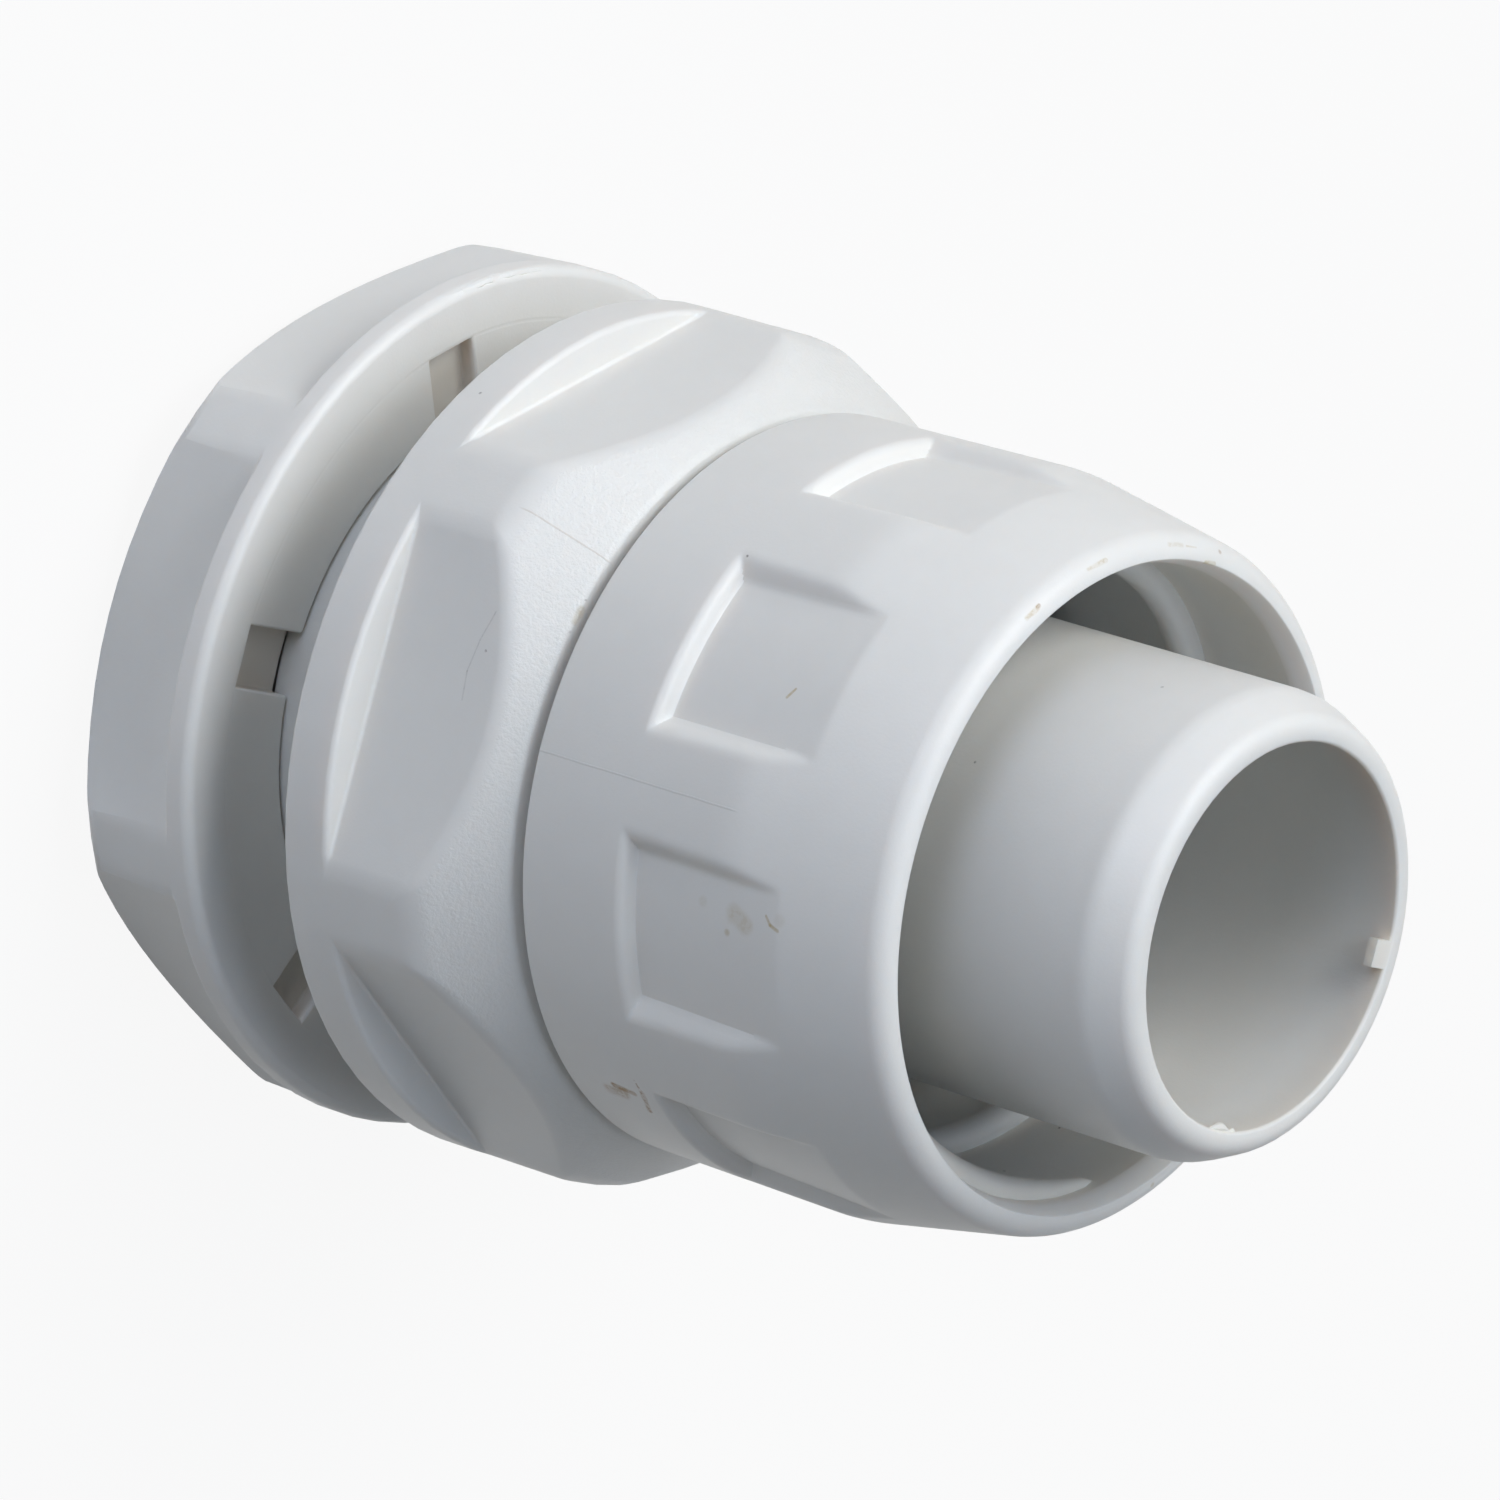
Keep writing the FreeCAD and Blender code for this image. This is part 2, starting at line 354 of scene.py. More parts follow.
def connector_body():
    ring = lathe("connector_body_visual", [
        (SHANK_BORE_R, 0.0), (SHANK_R - SHANK_LEAD, 0.0), (SHANK_R, SHANK_LEAD), (SHANK_R, FLANGE_Z),
        (FLANGE_R, FLANGE_Z), (FLANGE_R, SHOULDER_Z), (NECK_FACE_R, NECK_FACE_Z), (NECK_R, NECK_FACE_Z),
        (NECK_R, BEAD_Z), (BEAD_R, BEAD_Z), (BEAD_R, BEAD_TOP_Z), (SPIGOT_R, BEAD_TOP_Z),
        (SPIGOT_R, TIP_Z - TIP_LEAD, TIP_LEAD_ROUND), (TIP_R, TIP_Z, TIP_ROUND), (BORE_R, TIP_Z),
        (BORE_R, BORE_FOOT_Z), (SHANK_BORE_R, BORE_FOOT_Z)], turn=RING_TURN)
    flat = block((HEX_APOTHEM, -CUT_HALF_LENGTH, LEDGE_Z), (CUT_REACH, CUT_HALF_LENGTH, BEAD_Z + NEAR))
    combine(ring, copies_round(flat, HEX_COUNT))
    soften(ring, body_edge_width)
    combine(ring, spiral_bar("thread", SHANK_R + 0.1, THREAD_START_Z, 0.0, THREAD_PITCH, THREAD_TURNS,
                             THREAD_CUT_R, THREAD_FADE, THREAD_RUN_OUT, hand=1))
    nib = block((NIB_INNER_R, -NIB_HALF_WIDTH, TIP_Z - NIB_THICK),
                (BORE_R + 0.3, NIB_HALF_WIDTH, TIP_Z - 0.02))
    nib.data.transform(Matrix.Rotation(math.radians(NIB_TURN), 4, "Z"))
    combine(ring, nib, "UNION")
    combine(ring, flash_string("mouth_flash", [
        (265.0, 6.50, 40.70, 0.02), (267.0, 6.46, 40.68, 0.10), (269.0, 6.42, 40.66, 0.17),
        (271.0, 6.42, 40.66, 0.18), (273.0, 6.46, 40.68, 0.10), (274.5, 6.50, 40.70, 0.05),
        (276.0, 6.47, 40.70, 0.09), (277.5, 6.52, 40.70, 0.02)]), "UNION")
    shade(ring)
    return ring


def edge_sink(distance, slope, roll):
    """Depth in mm of a wall at a distance inside its edge, with the edge rolled over on a radius."""
    lean = math.atan(slope)
    reach = roll * math.tan(lean / 2)
    if distance <= -reach:
        return 0.0
    if distance < reach * math.cos(lean):
        return roll - math.sqrt(roll ** 2 - (distance + reach) ** 2)
    return slope * distance


def soft_least(first, second, blend_over):
    """Lesser of two values, with the corner between them eased."""
    near = max(blend_over - abs(first - second), 0.0) / blend_over
    return min(first, second) - near * near * blend_over / 4


def press_pockets(ring):
    """Pushes the nut's outer wall in to the floors and walls of its grip pockets."""
    half, spacing = math.radians(POCKET_HALF_ANGLE), math.tau / POCKETS
    for corner in ring.data.vertices:
        place = corner.co / MM
        r = place.xy.length
        if r < CAVITY_R + 0.4 or not NUT_END_Z + 1 < place.z < POCKET_FRONT_Z:
            continue
        depth = r - POCKET_FLOOR_R - POCKET_FLOOR_RISE * (place.z - POCKET_FOOT_Z)
        if depth <= -0.03:
            continue
        angle = math.atan2(place.y, place.x) - math.radians(POCKET_TURN)
        aside = abs((angle + spacing / 2) % spacing - spacing / 2)
        full = max(depth, 0.0)
        side = edge_sink(full / POCKET_SIDE_SLOPE - r * (aside - half), POCKET_SIDE_SLOPE, POCKET_SIDE_ROLL)
        back = edge_sink(place.z - POCKET_FOOT_Z + full / POCKET_BACK_SLOPE,
                         POCKET_BACK_SLOPE, POCKET_BACK_ROLL)
        floor_sink = depth if depth > 0.03 else (depth + 0.03) ** 2 / 0.12
        sink = max(0.0, min(soft_least(soft_least(side, back, 0.05), floor_sink, 0.04), floor_sink))
        share = (r - sink) / r
        corner.co.x *= share
        corner.co.y *= share


def outer_wall():
    """Points up the nut's outer wall, close together where the pockets' walls and rolls are."""
    corner = rounded([(NUT_END_R, NUT_END_Z), (WAIST_R, WAIST_Z, WAIST_ROUND), (RIM_R, MOUTH_Z)], turn=1.0)
    spans = ((23.20, 24.30, 0.05), (24.30, 24.60, 0.1), (24.60, 27.60, 0.3), (27.60, 31.20, 0.12))
    heights = [low + k * (high - low) / round((high - low) / step) for low, high, step in spans
               for k in range(round((high - low) / step))]
    points = []
    for z in heights + [spans[-1][1]]:
        for low, high in zip(corner, corner[1:]):
            if low.y <= z <= high.y:
                points.append((low.x + (high.x - low.x) * (z - low.y) / (high.y - low.y), z))
                break
    return points


def swivel_nut():
    ring = lathe("swivel_nut_visual", [
        (NUT_HOLE_R, NUT_END_Z), (NUT_END_R, NUT_END_Z, NUT_END_ROUND), *outer_wall(),
        (RIM_R, MOUTH_Z, RIM_ROUND), (MOUTH_R, MOUTH_Z, 0.05), (CAVITY_R, CAVITY_MOUTH_Z, CAVITY_ROUND),
        (CAVITY_R, CAVITY_FLOOR_Z, CAVITY_ROUND), (NUT_HOLE_R, CAVITY_FLOOR_Z)], NUT_STEPS)
    press_pockets(ring)
    combine(ring, spiral_bar("ridge", CAVITY_R - RIDGE_HEIGHT + RIDGE_HALF_WIDTH, RIDGE_START_Z,
                             RIDGE_START_ANGLE, -RIDGE_PITCH, RIDGE_TURNS, RIDGE_HALF_WIDTH, RIDGE_FADE,
                             RIDGE_HEIGHT - RIDGE_HALF_WIDTH + RIDGE_SINK), "UNION")
    shade(ring)
    return ring


def lock_edge_width(r, z):
    """Width of the rounding on the lock nut's edge at a radius and height."""
    if z > LOCK_FACE_Z - NOTCH_DEPTH - NEAR and r < LOCK_FLANGE_R - 2 * NEAR:
        return NOTCH_ROUND
    if z > LOCK_FACE_Z - NEAR:
        return LOCK_RIM_ROUND
    if z > LOCK_BACK_Z - NEAR:
        return LOCK_BACK_ROUND if r > LOCK_FLANGE_R - NEAR else LOCK_SEAT_ROUND
    return LOCK_FLAT_ROUND if z > LOCK_CHAMFER_Z + 6 * NEAR else 0.0


def lock_nut():
    ring = lathe("lock_nut_visual", [
        (LOCK_BORE_R, LOCK_END_Z), (LOCK_CHAMFER_R, LOCK_END_Z, LOCK_END_ROUND),
        (LOCK_CORNER_END_R, LOCK_CHAMFER_Z, LOCK_CHAMFER_ROUND), (LOCK_FLANGE_R, LOCK_BACK_Z),
        (LOCK_FLANGE_R, LOCK_FACE_Z), (LOCK_BORE_R, LOCK_FACE_Z)], turn=LOCK_TURN)
    flat = block((LOCK_APOTHEM, -CUT_HALF_LENGTH, -1), (CUT_REACH, CUT_HALF_LENGTH, LOCK_BACK_Z))
    lean = (LOCK_APOTHEM - LOCK_END_APOTHEM) * (LOCK_BACK_Z + 1) / (LOCK_BACK_Z - LOCK_END_Z)
    move_corners(flat, lambda p: p.z < 0 and p.x < LOCK_APOTHEM + 0.01, (-lean, 0, 0))
    combine(ring, copies_round(flat, HEX_COUNT, LOCK_TURN))
    notch = block((LOCK_BORE_R - 1, -NOTCH_WIDTH / 2, LOCK_FACE_Z - NOTCH_DEPTH),
                  (NOTCH_R, NOTCH_WIDTH / 2, LOCK_FACE_Z + 1))
    combine(ring, copies_round(notch, HEX_COUNT, LOCK_TURN))
    soften(ring, lock_edge_width)
    combine(ring, flash_string("rim_flash", [
        (118.0, 14.86, 6.48, 0.02), (117.2, 14.88, 6.50, 0.13), (116.4, 14.86, 6.48, 0.04),
        (115.2, 14.87, 6.50, 0.12), (114.0, 14.88, 6.52, 0.17), (112.8, 14.90, 6.50, 0.15),
        (111.8, 14.90, 6.52, 0.17), (110.7, 14.86, 6.48, 0.06), (109.6, 14.89, 6.50, 0.13),
        (108.4, 14.90, 6.52, 0.16), (107.0, 14.91, 6.50, 0.13), (105.8, 14.90, 6.52, 0.16),
        (104.2, 14.91, 6.50, 0.14), (102.4, 14.91, 6.50, 0.13), (100.6, 14.90, 6.48, 0.10),
        (98.6, 14.86, 6.44, 0.03)]), "UNION")
    shade(ring)
    return ring


def node_group(name, inputs, outputs):
    """Empty shader group with named sockets, and its nodes for what goes in and out."""
    group = bpy.data.node_groups.new(name, "ShaderNodeTree")
    kinds = {"value": "NodeSocketFloat", "place": "NodeSocketVector", "colour": "NodeSocketColor"}
    for label, kind in inputs:
        group.interface.new_socket(name=label, in_out="INPUT", socket_type=kinds[kind])
    for label, kind in outputs:
        group.interface.new_socket(name=label, in_out="OUTPUT", socket_type=kinds[kind])
    return group, group.nodes.new("NodeGroupInput"), group.nodes.new("NodeGroupOutput")


def feed(tree, socket, value):
    """Links a socket, or sets a constant, into an input socket."""
    if isinstance(value, bpy.types.NodeSocket):
        tree.links.new(value, socket)
    else:
        socket.default_value = value


def maths(tree, operation, *values):
    node = tree.nodes.new("ShaderNodeMath")
    node.operation = operation
    for socket, value in zip(node.inputs, values):
        feed(tree, socket, value)
    return node.outputs[0]


def vectors(tree, operation, *values):
    node = tree.nodes.new("ShaderNodeVectorMath")
    node.operation = operation
    for socket, value in zip(node.inputs, values):
        feed(tree, socket, value)
    return node.outputs["Value" if operation in ("DOT_PRODUCT", "LENGTH", "DISTANCE") else "Vector"]


def ease(tree, value, low, high, to_low=0.0, to_high=1.0):
    """Smooth step of a value between two limits."""
    node = tree.nodes.new("ShaderNodeMapRange")
    node.interpolation_type = "SMOOTHSTEP"
    for label, number in (("Value", value), ("From Min", low), ("From Max", high),
                          ("To Min", to_low), ("To Max", to_high)):
        feed(tree, node.inputs[label], number)
    return node.outputs["Result"]


def noise(tree, place, scale, detail=2.0, roughness=0.5):
    node = tree.nodes.new("ShaderNodeTexNoise")
    feed(tree, node.inputs["Vector"], place)
    feed(tree, node.inputs["Scale"], scale)
    node.inputs["Detail"].default_value = detail
    node.inputs["Roughness"].default_value = roughness
    return node.outputs["Fac"]


def blend(tree, share, first, second, way="MIX"):
    node = tree.nodes.new("ShaderNodeMix")
    node.data_type, node.blend_type = "RGBA", way
    feed(tree, node.inputs["Factor"], share)
    feed(tree, node.inputs["A"], first)
    feed(tree, node.inputs["B"], second)
    return node.outputs["Result"]


def mark_group():
    """Mask of a mark that runs from one place to another, with a ragged soft edge."""
    inputs = {"Place": "place", "From": "place", "To": "place", "Width": "value", "Raggedness": "value"}
    tree, given, made = node_group("mark", inputs.items(), [("Mask", "value")])
    place, start, end, width, ragged = (given.outputs[label] for label in inputs)
    along = vectors(tree, "SUBTRACT", end, start)
    off = vectors(tree, "SUBTRACT", place, start)
    share = maths(tree, "DIVIDE", vectors(tree, "DOT_PRODUCT", off, along),
                  vectors(tree, "DOT_PRODUCT", along, along))
    kept = tree.nodes.new("ShaderNodeClamp")
    feed(tree, kept.inputs["Value"], share)
    scaled = tree.nodes.new("ShaderNodeVectorMath")
    scaled.operation = "SCALE"
    feed(tree, scaled.inputs[0], along)
    feed(tree, scaled.inputs["Scale"], kept.outputs[0])
    distance = vectors(tree, "DISTANCE", off, scaled.outputs[0])
    bitten = maths(tree, "SUBTRACT", noise(tree, place, 2600.0, 2.0), 0.5)
    ragged_by = maths(tree, "MULTIPLY", maths(tree, "MULTIPLY", bitten, ragged), width)
    worked = maths(tree, "ADD", distance, ragged_by)
    body = ease(tree, worked, maths(tree, "MULTIPLY", width, 0.35), width, 1.0, 0.0)
    flecks = ease(tree, noise(tree, place, 5200.0, 3.0, 0.6), 0.46, 0.60)
    kept_share = maths(tree, "MULTIPLY_ADD", maths(tree, "SUBTRACT", flecks, 1.0),
                       maths(tree, "MINIMUM", maths(tree, "MULTIPLY", ragged, 0.5), 1.0), 1.0)
    feed(tree, made.inputs["Mask"], maths(tree, "MULTIPLY", body, kept_share))
    return tree


def moulding_group():
    """Grey of the moulded plastic with faint flow marks, and the height of its satin grain."""
    tree, given, made = node_group(
        "moulding", [("Place", "place"), ("Grey", "colour"), ("Mottle", "value")],
        [("Colour", "colour"), ("Grain", "value"), ("Roughness", "value")])
    place = given.outputs["Place"]
    flow = noise(tree, place, 160.0, 3.0)
    cloud = noise(tree, place, 900.0, 2.0)
    shade = maths(tree, "ADD", maths(tree, "MULTIPLY", maths(tree, "SUBTRACT", flow, 0.5), 1.2),
                  maths(tree, "MULTIPLY", maths(tree, "SUBTRACT", cloud, 0.5), 0.6))
    level = maths(tree, "ADD", 1.0, maths(tree, "MULTIPLY", shade, given.outputs["Mottle"]))
    tinted = tree.nodes.new("ShaderNodeVectorMath")
    tinted.operation = "SCALE"
    feed(tree, tinted.inputs[0], given.outputs["Grey"])
    feed(tree, tinted.inputs["Scale"], level)
    feed(tree, made.inputs["Colour"], tinted.outputs[0])
    feed(tree, made.inputs["Grain"], noise(tree, place, 9000.0, 2.0, 0.6))
    feed(tree, made.inputs["Roughness"], maths(tree, "MULTIPLY_ADD", flow, 0.12, 0.40))
    return tree


def seam_group():
    """Mask of a parting line that runs along the axis at one angle round it."""
    tree, given, made = node_group(
        "seam", [("Place", "place"), ("Angle", "value"), ("Half Width", "value")], [("Mask", "value")])
    turned = tree.nodes.new("ShaderNodeVectorRotate")
    turned.rotation_type = "Z_AXIS"
    feed(tree, turned.inputs["Vector"], given.outputs["Place"])
    feed(tree, turned.inputs["Angle"], maths(tree, "MULTIPLY", given.outputs["Angle"], -1.0))
    parts = tree.nodes.new("ShaderNodeSeparateXYZ")
    feed(tree, parts.inputs[0], turned.outputs[0])
    waver = maths(tree, "SUBTRACT", noise(tree, given.outputs["Place"], 700.0), 0.5)
    wave = maths(tree, "MULTIPLY", waver, 0.05 * MM)
    off = maths(tree, "ABSOLUTE", maths(tree, "ADD", parts.outputs["Y"], wave))
    line = ease(tree, off, 0.0, given.outputs["Half Width"], 1.0, 0.0)
    ahead = maths(tree, "GREATER_THAN", parts.outputs["X"], 0.0)
    feed(tree, made.inputs["Mask"], maths(tree, "MULTIPLY", line, ahead))
    return tree


MARK, MOULDING, SEAM = mark_group(), moulding_group(), seam_group()
SOOT = (0.05, 0.045, 0.04, 1)
PALE = (0.93, 0.94, 0.95, 1)
WARM = (0.42, 0.34, 0.25, 1)
KHAKI = (0.36, 0.26, 0.07, 1)
RUST = (0.22, 0.11, 0.01, 1)
NUT_GREY = (0.68, 0.68, 0.65, 1)
MOTTLE = 0.05
SEAM_HALF_WIDTH = 0.05
SEAM_HEIGHT = 0.012


class Finish:
    """Material of one moulded piece, built up from the plastic and the marks on it."""

    def __init__(self, name, grey):
        self.material = bpy.data.materials.new(name)
        self.material.use_nodes = True
        self.tree = self.material.node_tree
        self.shader = self.tree.nodes["Principled BSDF"]
        self.place = self.tree.nodes.new("ShaderNodeTexCoord").outputs["Object"]
        base = self.use(MOULDING, Place=self.place, Grey=grey, Mottle=MOTTLE)
        self.colour = base.outputs["Colour"]
        self.roughness = base.outputs["Roughness"]
        self.height = maths(self.tree, "MULTIPLY", base.outputs["Grain"], 0.004)

    def use(self, group, **values):
        node = self.tree.nodes.new("ShaderNodeGroup")
        node.node_tree = group
        for label, value in values.items():
            feed(self.tree, node.inputs[label.replace("_", " ")], value)
        return node

    def mark(self, colour, strength, start, end=None, width=0.2, ragged=1.0, raised=0.0):
        """Colours a mark between two places in mm, and raises or sinks it."""
        end = end or (start[0] + 0.02, start[1], start[2])
        mask = self.use(MARK, Place=self.place, From=mm(*start), To=mm(*end), Width=width * MM,
                        Raggedness=ragged).outputs["Mask"]
        self.tint(colour, mask, strength)
        if raised:
            self.raise_by(mask, raised)

    def tint(self, colour, mask, strength):
        self.colour = blend(self.tree, maths(self.tree, "MULTIPLY", mask, strength), self.colour, colour)

    def raise_by(self, mask, height):
        self.height = maths(self.tree, "ADD", self.height, maths(self.tree, "MULTIPLY", mask, height))

    def seam(self, angle, colour, strength, low, high):
        """Draws a raised parting line at an angle, between two heights."""
        line = self.use(SEAM, Place=self.place, Angle=math.radians(angle), Half_Width=SEAM_HALF_WIDTH * MM)
        mask = maths(self.tree, "MULTIPLY", line.outputs["Mask"], self.between("Z", low, high, 0.2))
        self.tint(colour, mask, strength)
        self.raise_by(mask, SEAM_HEIGHT)

    def height_up(self):
        parts = self.tree.nodes.new("ShaderNodeSeparateXYZ")
        feed(self.tree, parts.inputs[0], self.place)
        return parts.outputs["Z"]

    def radius(self):
        flat = vectors(self.tree, "MULTIPLY", self.place, (1.0, 1.0, 0.0))
        return vectors(self.tree, "LENGTH", flat)

    def between(self, letter, low, high, edge):
        """Mask of a span of heights for Z, or of radii for R, in mm, that fades over a width at its ends."""
        value = self.radius() if letter == "R" else self.height_up()
        rising = ease(self.tree, value, (low - edge) * MM, (low + edge) * MM)
        falling = ease(self.tree, value, (high - edge) * MM, (high + edge) * MM, 1.0, 0.0)
        return maths(self.tree, "MULTIPLY", rising, falling)

    def zone(self, radii, heights):
        """Mask of a ring, from the low end, high end and fade of its radii and of its heights."""
        return maths(self.tree, "MULTIPLY", self.between("R", *radii), self.between("Z", *heights))

    def specks(self, colour, strength, width, places):
        for place in places:
            self.mark(colour, strength, place, None, width)

    def finish(self, piece):
        bump = self.tree.nodes.new("ShaderNodeBump")
        bump.inputs["Strength"].default_value = 1.0
        bump.inputs["Distance"].default_value = MM
        feed(self.tree, bump.inputs["Height"], self.height)
        feed(self.tree, self.shader.inputs["Normal"], bump.outputs["Normal"])
        feed(self.tree, self.shader.inputs["Base Color"], self.colour)
        feed(self.tree, self.shader.inputs["Roughness"], self.roughness)
        self.shader.subsurface_method = "BURLEY"
        self.shader.inputs["Subsurface Weight"].default_value = 0.45
        self.shader.inputs["Subsurface Radius"].default_value = (1.0, 0.62, 0.42)
        self.shader.inputs["Subsurface Scale"].default_value = 1.0 * MM
        piece.data.materials.clear()
        piece.data.materials.append(self.material)


def body_plastic(piece):
    finish = Finish("body_plastic", (0.67, 0.67, 0.64, 1))
    tree = finish.tree
    flank = finish.zone((NECK_FACE_R, FLANGE_R + 1, 0.05), (SHOULDER_Z + 0.1, NECK_FACE_Z - 0.15, 0.25))
    facing = tree.nodes.new("ShaderNodeSeparateXYZ")
    feed(tree, facing.inputs[0], tree.nodes.new("ShaderNodeNewGeometry").outputs["Normal"])
    eroded = maths(tree, "MULTIPLY", flank, ease(tree, facing.outputs["Z"], 0.3, 0.55))
    sparks = noise(tree, finish.place, 6500.0, 2.0, 0.7)
    finish.raise_by(maths(tree, "MULTIPLY", sparks, eroded), 0.035)
    finish.roughness = maths(tree, "SUBTRACT", finish.roughness, maths(tree, "MULTIPLY", eroded, 0.08))
    for turn in (151.0, 331.0):
        finish.seam(turn, WARM, 0.35, SHOULDER_Z, NECK_FACE_Z - 0.2)
    scratch = [(-HEX_APOTHEM, 3.61, 16.95), (-HEX_APOTHEM, 2.58, 16.60),
               (-HEX_APOTHEM, 1.48, 16.40), (-HEX_APOTHEM, 0.53, 16.50)]
    for start, end in zip(scratch, scratch[1:]):
        finish.mark(SOOT, 0.22, start, end, 0.04, 0.8, -0.006)
    finish.specks(SOOT, 0.7, 0.07, ((-HEX_APOTHEM, 2.3, 16.95), (-7.34, 3.07, 32.85), (-3.89, 6.94, 36.78),
                                    (-10.66, 10.26, 11.63)))
    finish.specks(SOOT, 0.6, 0.08, ((-11.52, 5.19, 19.15), (-11.75, 4.74, 19.10), (-11.94, 4.22, 19.15),
                                    (-12.01, 3.94, 19.15), (-12.14, 3.61, 19.11)))
    finish.mark(KHAKI, 0.4, (-11.87, 4.40, 19.14), (-12.02, 3.98, 19.12), 0.20, 0.8)
    # painted light: warm khaki glow of light shining through the thin wall, inside the bore at the tip
    mouth = finish.zone((0.0, BORE_R + 0.06, 0.03), (TIP_Z - 1.16, TIP_Z + 0.64, 0.8))
    finish.tint(KHAKI, mouth, 0.12)
    # painted shade: darker warm grey on the neck face and the neck in the crevice under the swivel nut's end
    painted_gap_shade = finish.zone((NECK_R, NECK_FACE_R - NECK_FACE_ROUND, 0.15),
                      (NECK_FACE_Z - 0.05, NECK_FACE_Z + 0.4, 0.04))
    finish.tint(WARM, painted_gap_shade, 0.5)
    finish.finish(piece)


def nut_plastic(piece):
    finish = Finish("swivel_nut_plastic", NUT_GREY)
    for turn in (181.5, 1.5):
        finish.seam(turn, SOOT, 0.10, NUT_END_Z, WAIST_Z)
    stains = (
        (KHAKI, 0.30, (-11.90, -3.60, 28.48), (-11.84, -3.88, 28.95), 0.50, 0.8),
        (KHAKI, 0.40, (-11.67, -4.25, 28.18), None, 0.16, 0.8),
        (KHAKI, 0.55, (-12.03, -3.35, 29.83), (-11.97, -3.59, 30.03), 0.08, 0.5),
        (KHAKI, 0.60, (-11.97, -3.59, 30.03), (-11.95, -3.71, 30.35), 0.09, 0.5),
        (KHAKI, 0.15, (-12.05, -3.37, 30.40), None, 0.30, 0.5),
        (KHAKI, 0.15, (-11.87, -3.51, 27.05), None, 0.25, 0.5),
        (KHAKI, 0.60, (-11.90, 3.59, 28.28), (-11.80, 3.92, 28.47), 0.07, 0.6),
        (RUST, 0.95, (-7.24, -10.55, 21.81), (-7.17, -10.61, 22.61), 0.19, 0.8),
        (RUST, 0.60, (-6.93, -10.76, 21.50), (-6.97, -10.73, 22.05), 0.42, 1.0),
        (RUST, 0.70, (-7.86, -10.13, 23.04), (-7.35, -10.50, 23.11), 0.09, 2.0),
        (RUST, 0.80, (-7.35, -10.50, 23.11), (-6.45, -11.08, 22.92), 0.15, 1.2),
        (KHAKI, 0.50, (-8.30, 8.02, 34.08), (-7.90, 8.46, 34.12), 0.12, 1.2),
        (RUST, 0.70, (-7.90, 8.46, 34.09), (-7.84, 8.52, 34.09), 0.09, 0.8),
        (KHAKI, 0.45, (-5.80, 9.97, 34.08), (-5.00, 10.42, 34.12), 0.11, 1.2),
        (KHAKI, 0.25, (-1.90, 11.36, 34.11), (-1.20, 11.43, 34.11), 0.12, 1.2),
        (KHAKI, 0.60, (-0.98, 11.44, 34.13), (-0.45, 11.46, 34.13), 0.06, 0.8),
        (RUST, 0.70, (0.93, 11.50, 34.10), None, 0.12, 0.8),
        (KHAKI, 0.55, (0.12, 11.05, 34.25), (0.61, 11.09, 34.26), 0.13, 0.8),
        (KHAKI, 0.50, (6.23, -9.43, 34.19), None, 0.13, 0.8))
    for colour, strength, start, end, width, ragged in stains:
        finish.mark(colour, strength, start, end, width, ragged)
    finish.specks(SOOT, 0.7, 0.07, ((6.47, -8.62, 29.78), (3.30, -10.26, 30.36), (-10.19, -7.00, 29.11),
                                    (-12.10, -2.12, 24.92), (-10.38, 7.54, 24.02), (-10.16, 6.72, 24.09)))
    finish.specks(PALE, 0.8, 0.07, ((-11.04, 6.60, 27.0),))
    # painted light: warm khaki glow of light shining through the thin wall, inside the nut's mouth
    mouth = finish.zone((0.0, CAVITY_R + 0.05, 0.05), (32.0, 36.0, 1.0))
    finish.tint(KHAKI, mouth, 0.14)
    finish.finish(piece)


def lock_plastic(piece):
    finish = Finish("lock_nut_plastic", NUT_GREY)
    step = finish.zone((NOTCH_R + 0.03, NOTCH_R + 0.13, 0.04), (LOCK_FACE_Z - 0.1, LOCK_FACE_Z + 1, 0.02))
    finish.raise_by(step, -0.008)
    # painted shade: darker warm grey down in the notches of the lock nut's face, where shade falls
    notch = finish.zone((LOCK_BORE_R - 1, NOTCH_R + 0.1, 0.1),
                        (LOCK_FACE_Z - NOTCH_DEPTH - 0.1, LOCK_FACE_Z - 0.2, 0.1))
    finish.tint(WARM, notch, 0.35)
    finish.finish(piece)


pieces = {"connector_body": connector_body(), "swivel_nut": swivel_nut(), "lock_nut": lock_nut()}
for (node, piece), body in zip(pieces.items(), ("body", "nut", "lock")):
    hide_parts(node)
    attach(piece, body)
for node, coat, slot in (("connector_body", body_plastic, "body_plastic"),
                         ("swivel_nut", nut_plastic, "swivel_nut_plastic"),
                         ("lock_nut", lock_plastic, "lock_nut_plastic")):
    coat(pieces[node])

# floor, white to the camera and in reflections but for a share of its shading
bpy.ops.object.select_all(action="DESELECT")
bpy.ops.mesh.primitive_plane_add(size=20, location=(0, 0, 0))
floor = bpy.context.object
floor.name = "floor"
paper = bpy.data.materials.new("white_paper")
paper.use_nodes = True
tree = paper.node_tree
sheet = tree.nodes["Principled BSDF"]
sheet.inputs["Base Color"].default_value = (0.5, 0.5, 0.5, 1)
sheet.inputs["Roughness"].default_value = 0.9
sheet.inputs["Specular IOR Level"].default_value = 0.0


def seen_directly(tree):
    """1 for rays from the camera, from reflections and through clear parts, else 0."""
    rays = tree.nodes.new("ShaderNodeLightPath")
    seen = maths(tree, "MAXIMUM", rays.outputs["Is Camera Ray"], rays.outputs["Is Glossy Ray"])
    return maths(tree, "MAXIMUM", seen, rays.outputs["Is Transmission Ray"])


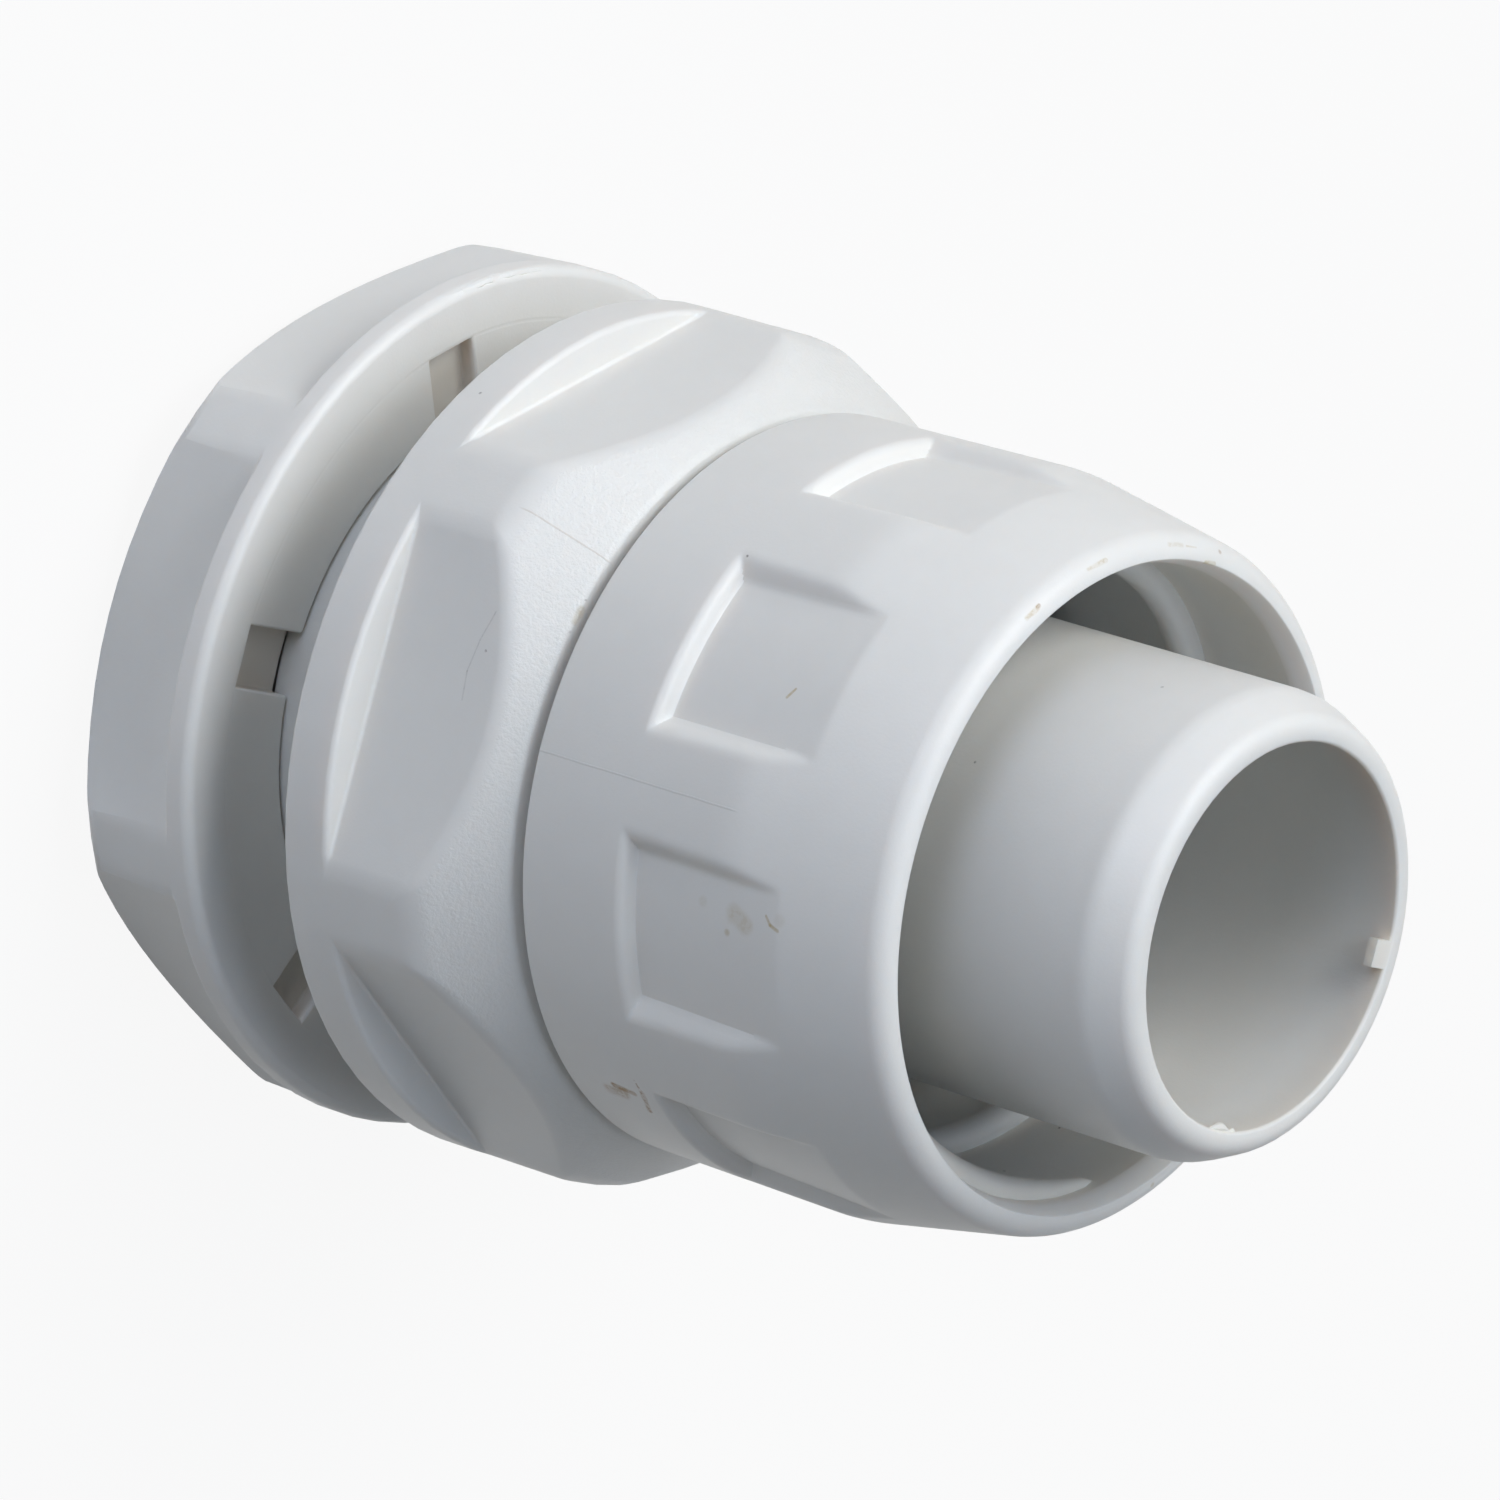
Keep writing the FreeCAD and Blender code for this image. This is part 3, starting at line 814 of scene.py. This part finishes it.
glow = tree.nodes.new("ShaderNodeEmission")
glow.inputs["Color"].default_value = (1, 1, 1, 1)
glow.inputs["Strength"].default_value = 1.0
cover = tree.nodes.new("ShaderNodeMixShader")
feed(tree, cover.inputs[0], maths(tree, "MULTIPLY", seen_directly(tree), 0.92))
tree.links.new(sheet.outputs[0], cover.inputs[1])
tree.links.new(glow.outputs[0], cover.inputs[2])
tree.links.new(cover.outputs[0], tree.nodes["Material Output"].inputs["Surface"])
floor.data.materials.append(paper)

# camera
bpy.ops.object.camera_add(location=mm(-312.97, 20.27, 261.95))
camera = bpy.context.object
aim = mm(0.036, 0.569, 17.870)
camera.rotation_mode = "QUATERNION"
towards = (aim - camera.location).to_track_quat("-Z", "Y")
camera.rotation_quaternion = towards @ Quaternion((0, 0, 1), math.radians(106.95))
camera.data.lens = 284.27
camera.data.sensor_width = 36
camera.data.shift_x = 0.0045
camera.data.shift_y = 0.0049
camera.data.clip_start, camera.data.clip_end = 0.01, 50
bpy.context.scene.camera = camera

# lights
def softbox(name, place, size, power, colour):
    bpy.ops.object.light_add(type="AREA", location=place)
    lamp = bpy.context.object
    lamp.name = name
    lamp.data.size, lamp.data.energy, lamp.data.color = size, power, colour
    lamp.rotation_mode = "QUATERNION"
    lamp.rotation_quaternion = (-Vector(place)).to_track_quat("-Z", "Y")


softbox("key", (-0.05, 0.45, 0.60), 0.5, 4.5, (1.0, 0.98, 0.96))
softbox("front", (-0.10, 0.12, 0.70), 0.5, 1.9, (0.68, 0.79, 1.0))
softbox("side", (-0.50, 0.25, 0.05), 0.4, 1.6, (0.77, 0.83, 1.0))
world = bpy.data.worlds.new("studio")
bpy.context.scene.world = world
world.use_nodes = True
tree = world.node_tree
sky = tree.nodes["Background"]
sky.inputs["Color"].default_value = (0.86, 0.93, 1.0, 1)
sky.inputs["Strength"].default_value = 0.08
white = tree.nodes.new("ShaderNodeBackground")
white.inputs["Color"].default_value = (1, 1, 1, 1)
white.inputs["Strength"].default_value = 1.0
cover = tree.nodes.new("ShaderNodeMixShader")
feed(tree, cover.inputs[0], seen_directly(tree))
tree.links.new(sky.outputs[0], cover.inputs[1])
tree.links.new(white.outputs[0], cover.inputs[2])
tree.links.new(cover.outputs[0], tree.nodes["World Output"].inputs["Surface"])

bpy.context.scene.view_settings.view_transform = "Standard"
